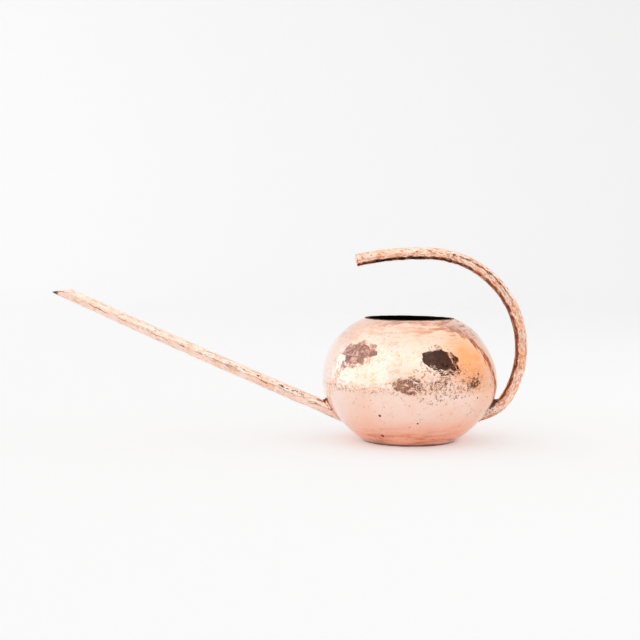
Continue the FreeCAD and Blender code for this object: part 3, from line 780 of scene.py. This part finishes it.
# grains drawn out level round the body, and how far
levelGrain = {
    "streaks": (7, (48, 5, 0.62)),
    "brushed": (16, (150, 3, 0.6)),
}
bodyMarks = {
    "seamAt": 0.0552,
    "bellyAt": 0.060,
    "heated": ((0.0495, -0.0592, 0.0800), 0.024),
    "peelAt": (0.025, -0.077, 0.062),
    "peelFlat": 1.9,
    "peelRange": (0.022, 0.052),
    "solderSmear": ((0.0665, 0.0, 0.0300), 0.016),
    "freckles": (143, 0.0007, 0.34),
    "dots": (61, 0.0007, 0.22),
    "pits": (((-0.0314, -0.0679, 0.0317), 0.0013), ((-0.0278, -0.0501, 0.0110), 0.0016),
             ((0.0023, -0.0700, 0.0249), 0.0009), ((0.0579, -0.0569, 0.0682), 0.0011),
             ((0.0570, -0.0582, 0.0467), 0.0009), ((0.0464, -0.0464, 0.0989), 0.0008)),
    "reliefDepth": 0.00016,
}
# coats from the metal up: tone, strength, and the fields that they follow
underRim = (1, ("height", 0.093, 0.105), ("streaks", 0.48, 0.62), ("across", -0.02, 0.03, 0.3, 0.9))
bodyCoats = (
    ("warm", 0.55, ("patches", 0.40, 0.72)),
    ("cloudy", 1, ("clouds", 0.51, 0.61), ("height", 0.046, 0.060, 0.15, 0.8)),
    # warmer and darker towards the bottom: partly the metal's own warmer tone, partly a painted reflection
    # of the shaded floor close by
    ("foot", 0.9, ("height", 0.034, 0.002), ("streaks", 0.2, 0.6, 0.4, 1.0)),
    ("straw", 0.55, ("across", -0.035, -0.005), ("height", 0.058, 0.075), ("height", 0.110, 0.095),
     ("blotches", 0.44, 0.60)),
    # painted shade down the right side of the body
    ("shaded", 0.8, ("across", 0.046, 0.076)),
    # painted light down the left side of the body, which faces the soft panel
    ("paintedLightLeft", 0.7, ("across", -0.044, -0.074)),
    ("shoulder", 1, ("height", 0.084, 0.104), ("across", -0.06, 0.03, 0.35, 0.8)),
    ("heated", 1, ("heatedPatch",), ("ragged", 0.35, 0.65, 1.0, 0.78)),
    ("streak", *underRim),
    ("brown", 1, ("tarnish",)),
    ("seam", 0.85, ("fromSeam", 0.00168, 0.0042, 1.0, 0.0), ("fine", 0.50, 0.60)),
    # darker brown streaks towards the bottom
    ("lowBrownStreaks", 0.5, ("height", 0.024, 0.004), ("streaks", 0.50, 0.62)),
    # painted contact shade: a dark line round the foot, where it stands on the floor
    ("paintedContactShade", 0.95, ("height", 0.0034, 0.0008)),
    ("freckle", 0.85, ("freckles",)),
    ("black", 0.92, ("dots",)),
    ("solder", 1, ("smear",), ("fine", 0.36, 0.52)),
)


def bodyFields(tree, place):
    marks = bodyMarks
    fields = {name: noiseOf(tree, place, *grain) for name, grain in bodyGrain.items()}
    axes = node(tree, "SeparateXYZ", {0: place})
    fields["across"], fields["height"] = axes.outputs["X"], axes.outputs["Z"]
    for name, (flatness, grain) in levelGrain.items():
        fields[name] = noiseOf(tree, stretched(tree, place, (1, 1, flatness)), *grain)
    fields["fromSeam"] = awayFrom(tree, fields["height"], marks["seamAt"])
    fields["heatedPatch"] = nearTo(tree, place, *marks["heated"], fields["streaks"], 0.6)
    fields["smear"] = nearTo(tree, place, *marks["solderSmear"], fields["streaks"], 0.4)
    fields["freckles"] = pits(tree, place, *marks["freckles"])
    fields["dots"] = pits(tree, place, *marks["dots"])
    for spot, radius in marks["pits"]:
        pit = nearTo(tree, place, spot, radius, fields["fine"], 0.4)
        fields["dots"] = largest(tree, fields["dots"], pit)
    # one patch is peeled like orange skin, and specked more than the rest
    peelAt = (marks["peelAt"][0], marks["peelAt"][1], marks["peelAt"][2] * marks["peelFlat"])
    fromPeel = distanceTo(tree, stretched(tree, place, (1, 1, marks["peelFlat"])), peelAt)
    fields["peel"] = ranged(tree, fromPeel, *marks["peelRange"], 1.0, 0.0)
    speckle = added(tree, fields["speckle"], product(tree, fields["peel"], 0.105))
    mottle = coverOf(tree, fields, 1, ("ragged", 0.56, 0.70), ("fine", 0.42, 0.62),
                     ("across", 0.010, 0.060, 0.28, 0.60))
    fields["tarnish"] = largest(tree, mottle, product(tree, ranged(tree, speckle, 0.64, 0.70), 0.75))
    return fields


def bodyCopperMaterial():
    material, tree, shader = newMaterial("copper_body", {"Metallic": 1.0})
    fields = bodyFields(tree, node(tree, "TexCoord").outputs["Object"])
    height, fine, dots = fields["height"], fields["fine"], fields["dots"]
    tone = addCoats(tree, copperTone["bright"], fields, bodyCoats)
    dull = largest(tree, dots, coverOf(tree, fields, *underRim), fields["smear"])
    lowSatin = ranged(tree, height, 0.052, 0.020, 0.055, 0.15)
    highSatin = ranged(tree, height, 0.088, 0.103, 0.0, 0.21)
    satin = largest(tree, added(tree, lowSatin, ranged(tree, fine, 0.35, 0.75, 0.0, 0.09)),
                    product(tree, dull, 0.42), highSatin)
    belly = ranged(tree, awayFrom(tree, height, bodyMarks["bellyAt"]), 0.006, 0.028, 1.0, 0.3)
    relief = added(tree, product(tree, fields["ripple"], belly, 1.1),
                   product(tree, fields["scribble"], fields["peel"], 1.7),
                   product(tree, fine, ranged(tree, belly, 0.3, 1.0, 0.26, 0.50)),
                   product(tree, fields["brushed"], 0.02),
                   product(tree, dots, -0.8))
    finishShader(tree, shader, tone, satin, relief, bodyMarks["reliefDepth"])
    return material


# forging left long flats on the tubes, and painted dark reflections broken into dashes stand along their
# edges
tubeMarks = {
    "flats": 6,                   # edges between flats, round the tube
    "broad": (60, 4, 0.6),
    "fine": (900, 4, 0.6),
    "ripple": (330, 2, 0.5),
    "hatch": (560, 3, 0.6),
    "hatchLong": 0.42,
    "dashes": (420, 4, 0.6),
    "dashLong": 0.22,
    "waves": (110, 3, 0.6),
    "waveShape": (0.7, 0.2, 0.2),
    "dots": (260, 0.0005, 0.25),
    "tipShadeRadius": 0.0048,
    "reliefDepth": 0.00024,
}
handleFinish = {
    "bright": (0.990, 0.735, 0.610, 1),
    "warm": (0.985, 0.555, 0.380, 1),
    "turn": 0.10,                 # of the flats round the tube
    "ridge": 0.80,
    "edgeReflections": 0.14,
    "hatchFrom": 0.54,
    "hatch": 0.82,
    "joint": 0.85,
    "inner": 0.92,                # painted shade on the underside
    "gripFrom": 0.195,            # where the painted shade on the underside grows paler
    "ripple": 1.2,
    "satin": 0.20,
}
spoutTip = points(spout)[points(spout)[:, 0].argmin()]
spoutFinish = {
    "bright": (0.990, 0.765, 0.660, 1),
    "warm": (0.975, 0.650, 0.500, 1),
    "turn": -0.10,
    "ridge": 0.84,
    "edgeReflections": 0.85,
    "hatchFrom": 0.565,
    "hatch": 0.42,
    "joint": 0.25,
    "inner": 0.0,
    "gripFrom": 9.0,
    "ripple": 0.9,
    "satin": 0.13,
    "tipShadeAt": tuple(spoutTip + np.array((0.0030, -0.002, 0.0025))),
}


def tubeFields(tree, place, finish):
    marks = tubeMarks
    track = node(tree, "Attribute", attribute_name="track").outputs["Vector"]
    dent = node(tree, "Attribute", attribute_name="dent").outputs["Fac"]
    axes = node(tree, "SeparateXYZ", {0: track}).outputs
    along, side = axes["X"], axes["Y"]
    fine = noiseOf(tree, place, *marks["fine"])
    hatch = noiseOf(tree, stretched(tree, track, (marks["hatchLong"], 1, 1)), *marks["hatch"])
    dashed = noiseOf(tree, stretched(tree, track, (marks["dashLong"], 1, 1)), *marks["dashes"])
    hollow = ranged(tree, dent, 0.35, 1.0)
    strokes = ranged(tree, added(tree, hatch, product(tree, hollow, 0.05)),
                     finish["hatchFrom"], finish["hatchFrom"] + 0.08)
    turned = maths(tree, "ARCTAN2", side, product(tree, axes["Z"], -1.0))
    waves = noiseOf(tree, stretched(tree, track, marks["waveShape"]), *marks["waves"])
    wavy = added(tree, product(tree, added(tree, turned, finish["turn"]), marks["flats"]),
                 ranged(tree, waves, 0.25, 0.75, -1.5, 1.5))
    ridge = ranged(tree, maths(tree, "COSINE", wavy), finish["ridge"], 1.0)
    # painted shade darkens the underside but for its very edge, less so along the grip
    rough = ranged(tree, dashed, 0.35, 0.65, -0.0008, 0.0008)
    ragged = added(tree, side, rough, product(tree, hollow, -0.0012))
    gripped = ranged(tree, along, finish["gripFrom"] - 0.03, finish["gripFrom"], 0.92, 0.30)
    gripped = largest(tree, gripped, ranged(tree, along, 0.055, 0.030))
    fields = {"along": along, "side": side, "fine": fine, "hatch": hatch, "dashed": dashed,
              "strokes": strokes, "ridge": ridge, "ragged": ragged, "gripped": gripped,
              "dots": pits(tree, place, *marks["dots"])}
    for name in ("broad", "ripple"):
        fields[name] = noiseOf(tree, track, *marks[name])
    if "tipShadeAt" in finish:
        fields["tipShade"] = nearTo(tree, place, finish["tipShadeAt"], marks["tipShadeRadius"], fine, 0.3)
    return fields


def tubeCoats(finish):
    coats = (
        ("stroke", finish["hatch"], ("strokes",)),
        # painted reflections: dark dashes along the edges between the flats
        ("line", finish["edgeReflections"], ("ridge",), ("dashed", 0.50, 0.56)),
        ("edgeReflectionCore", finish["edgeReflections"], ("ridge",), ("dashed", 0.54, 0.60), ("fine", 0.42, 0.52)),
        # painted shade along the underside of the handle
        ("underside", finish["inner"], ("ragged", -0.0034, -0.0043), ("side", -0.0060, -0.0056, 0.4, 1.0),
         ("dashed", 0.42, 0.50, 0.45, 1.0), ("gripped",)),
        # darker near the tube's root: partly solder stain, partly painted shade where the tube meets the
        # body
        ("joint", finish["joint"], ("along", 0.050, 0.022), ("fine", 0.49, 0.57)),
        ("black", 0.8, ("dots",)),
    )
    # painted shade at the open tip of the spout
    if "tipShadeAt" in finish:
        coats += (("tipShade", 0.95, ("tipShade",)),)
    return coats


def tubeCopperMaterial(name, finish):
    material, tree, shader = newMaterial(name, {"Metallic": 1.0})
    fields = tubeFields(tree, node(tree, "TexCoord").outputs["Object"], finish)
    tone = blendTone(tree, ranged(tree, fields["broad"], 0.40, 0.68), finish["bright"], finish["warm"])
    tone = addCoats(tree, tone, fields, tubeCoats(finish))
    satin = added(tree, ranged(tree, fields["fine"], 0.3, 0.7, finish["satin"], finish["satin"] + 0.10),
                  product(tree, fields["strokes"], 0.10))
    relief = added(tree, product(tree, fields["hatch"], 0.5), product(tree, fields["fine"], 0.12),
                   product(tree, fields["ripple"], finish["ripple"]))
    finishShader(tree, shader, tone, satin, relief, tubeMarks["reliefDepth"])
    return material


# dark inside of the bowls, with painted light making it a little paler at the right
def oxideMaterial():
    material, tree, shader = newMaterial("copper_oxide_inside", {"Metallic": 0.3})
    place = node(tree, "TexCoord").outputs["Object"]
    across = node(tree, "SeparateXYZ", {0: place}).outputs["X"]
    edge = ranged(tree, noiseOf(tree, place, 60), 0.3, 0.7, -0.01, 0.01)
    # painted light on the inside wall at the right
    lighter = ranged(tree, added(tree, across, edge), 0.012, 0.045)
    browned = ranged(tree, noiseOf(tree, place, 90, 5), 0.35, 0.75)
    tone = blendTone(tree, browned, copperTone["oxide"], copperTone["oxideBrown"])
    tone = blendTone(tree, product(tree, lighter, 0.6), tone, copperTone["oxideLit"])
    finishShader(tree, shader, tone, ranged(tree, noiseOf(tree, place, 240), 0.3, 0.7, 0.55, 0.8))
    return material


# bare metal with a dark crust, which closes above the height given
def solderMaterial(name, metal, darkAbove):
    material, tree, shader = newMaterial(name, {"Metallic": 1.0})
    place = node(tree, "TexCoord").outputs["Object"]
    height = node(tree, "SeparateXYZ", {0: place}).outputs["Z"]
    grain = product(tree, noiseOf(tree, place, 1100, 3, 0.7), 0.35)
    crust = added(tree, noiseOf(tree, place, 420, 5, 0.6), grain,
                  ranged(tree, height, darkAbove - 0.006, darkAbove, -0.18, 0.08))
    tone = blendTone(tree, ranged(tree, crust, 0.53, 0.62), metal, copperTone["solderCrust"])
    satin = ranged(tree, noiseOf(tree, place, 700), 0.3, 0.7, 0.3, 0.5)
    finishShader(tree, shader, tone, satin, noiseOf(tree, place, 600), 0.0003)
    return material


bodyCopper = bodyCopperMaterial()
handleCopper = tubeCopperMaterial("copper_handle", handleFinish)
spoutCopper = tubeCopperMaterial("copper_spout", spoutFinish)
oxide = oxideMaterial()
silverSolder = solderMaterial("solder_silver", copperTone["solder"], 0.034)
brownSolder = solderMaterial("solder_browned", copperTone["warm"], 0.040)
darkSolder = solderMaterial("solder_dark", copperTone["solderDark"], 0.0)

for bowl in (lowerBowl, upperBowl):
    bowl.data.materials[0] = bodyCopper
    bowl.data.materials[1] = oxide
for tube, finish in ((spout, spoutCopper), (handle, handleCopper)):
    tube.data.materials.append(finish)

for piece, nodeName in ((lowerBowl, "lower_bowl"), (upperBowl, "upper_bowl"), (spout, "spout_tube"),
                        (handle, "handle_tube")):
    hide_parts(nodeName)
    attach(piece, "root")
bellySolder.data.materials.append(brownSolder)
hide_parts("belly_solder")
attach(bellySolder, "root")
for nodeName, finish in (("base_disc", oxide), ("handle_end_cap", bodyCopper), ("base_solder", darkSolder),
                         ("spout_solder", brownSolder), ("handle_solder", silverSolder),
                         ("handle_cap_solder", brownSolder)):
    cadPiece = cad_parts[nodeName]
    cadPiece.data.materials.clear()
    cadPiece.data.materials.append(finish)
print("finishes done")

white = (1, 1, 1, 1)
studio = {
    "floorHalf": 5.0,
    "wallAt": 2.6,
    "sweepRadius": 1.4,
    "sweepSteps": 36,
    "wallTop": 3.2,
    "paper": (0.84, 0.84, 0.84, 1),
    "floorGlow": (-0.7, 0.9, 0.310, 0.322),   # across: from, to, and the glow at each end
    "wallGlow": (-2.2, 2.2, 0.040, -0.075),
    "wallGlowDepth": (0.15, 1.8),             # where it sets in behind the can
    "shineGlow": 0.02,
    "fadeFrom": 1.8,
    "edgeGlow": 0.16,
    "worldLight": 0.79,
    "worldSeen": 1.0,
    "ceilingSeen": 1.27,
    "ceilingFrom": 0.10,
    "ceilingTo": 0.65,
}


# paper floor that curves up into a wall behind the can
def makeSweep():
    f = studio
    floor = addPiece("paper_sweep", bpy.ops.mesh.primitive_plane_add, size=2 * f["floorHalf"],
                     location=(0, f["wallAt"] - f["floorHalf"], 0))
    settle(floor)
    for vertex in floor.data.vertices:
        vertex.select = vertex.co.y > f["wallAt"] - 0.01
    for edge in floor.data.edges:
        edge.select = all(floor.data.vertices[v].select for v in edge.vertices)
    for face in floor.data.polygons:
        face.select = False
    bpy.ops.object.mode_set(mode="EDIT")
    bpy.ops.mesh.select_mode(type="EDGE")
    halfStep = 45 / f["sweepSteps"]
    chord = 2 * f["sweepRadius"] * math.sin(math.radians(halfStep))
    for step in range(f["sweepSteps"]):
        turned = math.radians(halfStep * (2 * step + 1))
        rise = (0, chord * math.cos(turned), chord * math.sin(turned))
        bpy.ops.mesh.extrude_edges_move(TRANSFORM_OT_translate={"value": rise})
    bpy.ops.mesh.extrude_edges_move(TRANSFORM_OT_translate={"value": (0, 0, f["wallTop"])})
    endEdit()
    smooth(floor, angle=60)
    return floor


def seenRays(tree):
    rays = node(tree, "LightPath").outputs
    return rays["Is Camera Ray"], rays["Is Glossy Ray"]


def paperMaterial():
    matt = {"Base Color": studio["paper"], "Roughness": 0.9, "Specular IOR Level": 0.0}
    paper, tree, shader = newMaterial("paper", {**matt, "Emission Color": white})
    camera, glossy = seenRays(tree)
    place = node(tree, "SeparateXYZ", {0: node(tree, "TexCoord").outputs["Object"]}).outputs
    wallGlow = product(tree, ranged(tree, place["Y"], *studio["wallGlowDepth"]),
                       ranged(tree, place["X"], *studio["wallGlow"]))
    # far from the can, the paper fades into the white room
    outward = largest(tree, maths(tree, "ABSOLUTE", place["X"]), product(tree, place["Y"], -1.0))
    fade = ranged(tree, outward, studio["fadeFrom"], studio["floorHalf"], 0.0, studio["edgeGlow"])
    glow = added(tree, wallGlow, ranged(tree, place["X"], *studio["floorGlow"]),
                 product(tree, camera, fade), product(tree, glossy, studio["shineGlow"]))
    tree.links.new(product(tree, largest(tree, camera, glossy), glow), shader.inputs["Emission Strength"])
    return paper


def lightRoom():
    world = bpy.data.worlds.new("studio")
    bpy.context.scene.world = world
    world.use_nodes = True
    tree = world.node_tree
    background = tree.nodes["Background"]
    background.inputs["Color"].default_value = white
    upward = node(tree, "SeparateXYZ", {0: node(tree, "TexCoord").outputs["Generated"]}).outputs["Z"]
    ceiling = ranged(tree, upward, studio["ceilingFrom"], studio["ceilingTo"], studio["worldSeen"],
                     studio["ceilingSeen"])
    more = maths(tree, "SUBTRACT", ceiling, studio["worldLight"])
    strength = added(tree, product(tree, largest(tree, *seenRays(tree)), more), studio["worldLight"])
    tree.links.new(strength, background.inputs["Strength"])


sweep = makeSweep()
sweep.data.materials.append(paperMaterial())
lightRoom()

# tall soft panel that stands to the left of the set
softPanel = {
    "at": -1.3,
    "from": -2.2,
    "to": 0.78,
    "top": 2.3,
    "foot": 0.002,
    "back": 1.36,
    "front": 1.25,
    "frontAt": -2.0,
    "soft": 0.55,                 # share of its light that falls on dull surfaces
}


def makePanel():
    f = softPanel
    panel = addPiece("soft_panel", bpy.ops.mesh.primitive_plane_add, size=1, rotation=(0, math.pi / 2, 0),
                     location=(f["at"], (f["from"] + f["to"]) / 2, f["top"] / 2 + f["foot"]))
    panel.scale = (f["top"], f["to"] - f["from"], 1)
    settle(panel)
    cloth, tree, shader = newMaterial("lit_cloth", {"Base Color": (0, 0, 0, 1), "Emission Color": white})
    along = node(tree, "SeparateXYZ", {0: node(tree, "TexCoord").outputs["Object"]}).outputs["Y"]
    shine = ranged(tree, along, f["frontAt"], 0.0, f["front"], f["back"])
    _, glossy = seenRays(tree)
    softened = ranged(tree, glossy, 0.0, 1.0, f["soft"], 1.0)
    tree.links.new(product(tree, shine, softened), shader.inputs["Emission Strength"])
    panel.data.materials.append(cloth)
    panel.visible_camera = False


makePanel()

# mottled cards round the set, which show only in the polished metal
canMiddle = Vector((0, 0, 0.06))
flagEdge = {"corners": 26, "nearest": 0.78, "farthest": 1.12}
flags = {
    "flag_left": {"azimuth": -90, "level": 35, "distance": 1.00, "size": (0.94, 0.70), "turn": 38,
                  "tones": ((0.44, 0.27, 0.31), (1.7, 1.5, 1.4)),
                  "mottle": (17, 0.50, 0.60), "seed": 5},
    "flag_right": {"azimuth": 47, "level": 38, "distance": 1.10, "size": (0.98, 0.78), "turn": -40,
                   "tones": ((0.10, 0.066, 0.062), (0.20, 0.13, 0.12)),
                   "mottle": (9, 0.48, 0.66), "seed": 8},
    "flag_front": {"azimuth": -7, "level": 2, "distance": 0.80, "size": (0.38, 0.22), "turn": 0,
                   "tones": ((0.29, 0.135, 0.09), (1.2, 0.86, 0.70)),
                   "mottle": (16, 0.50, 0.62), "seed": 12},
    "flag_side": {"azimuth": 84, "level": 0, "distance": 0.90, "size": (0.46, 0.20), "turn": 20,
                  "tones": ((0.20, 0.13, 0.11), (0.75, 0.56, 0.50)),
                  "mottle": (12, 0.48, 0.66), "seed": 14},
    "flag_far": {"azimuth": 33, "level": 3, "distance": 0.85, "size": (0.32, 0.24), "turn": 10,
                 "tones": ((0.34, 0.17, 0.12), (1.25, 1.0, 0.85)),
                 "mottle": (14, 0.44, 0.60), "seed": 21},
}


def feltMaterial(name, tones, mottle):
    felt, tree, shader = newMaterial(name, {"Roughness": 1.0})
    scale, low, high = mottle
    grain = noiseOf(tree, node(tree, "TexCoord").outputs["Object"], scale, 4, 0.6)
    tone = blendTone(tree, ranged(tree, grain, low, high), tones[0] + (1,), tones[1] + (1,))
    tree.links.new(tone, shader.inputs["Base Color"])
    return felt


def makeFlag(name, flag):
    azimuth, level = math.radians(flag["azimuth"]), math.radians(flag["level"])
    flat = math.cos(level)
    toward = Vector((math.sin(azimuth) * flat, -math.cos(azimuth) * flat, math.sin(level)))
    card = addPiece(name, bpy.ops.mesh.primitive_circle_add, vertices=flagEdge["corners"], radius=0.5,
                    fill_type="NGON")
    chance = random.Random(flag["seed"])
    for vertex in card.data.vertices:
        vertex.co *= chance.uniform(flagEdge["nearest"], flagEdge["farthest"])
    card.scale = (*flag["size"], 1)
    settle(card)
    card.rotation_euler = (0, 0, math.radians(flag["turn"]))
    settle(card)
    card.location = canMiddle + toward * flag["distance"]
    card.rotation_euler = facing(toward)
    settle(card)
    card.data.materials.append(feltMaterial(name + "_felt", flag["tones"], flag["mottle"]))
    card.visible_camera = False
    card.visible_diffuse = False
    card.visible_shadow = False


for name, flag in flags.items():
    makeFlag(name, flag)

cameraRig = {
    "at": (-0.0846, -1.1699, 0.1829),
    "tilt": math.radians(86.6),
    "lens": 70,
    "sensor": 36,
}
camera = addPiece("Camera", bpy.ops.object.camera_add, location=cameraRig["at"],
                  rotation=(cameraRig["tilt"], 0, 0))
camera.data.lens = cameraRig["lens"]
camera.data.sensor_width = cameraRig["sensor"]
bpy.context.scene.camera = camera
bpy.context.scene.view_settings.view_transform = "Standard"
print("studio set")
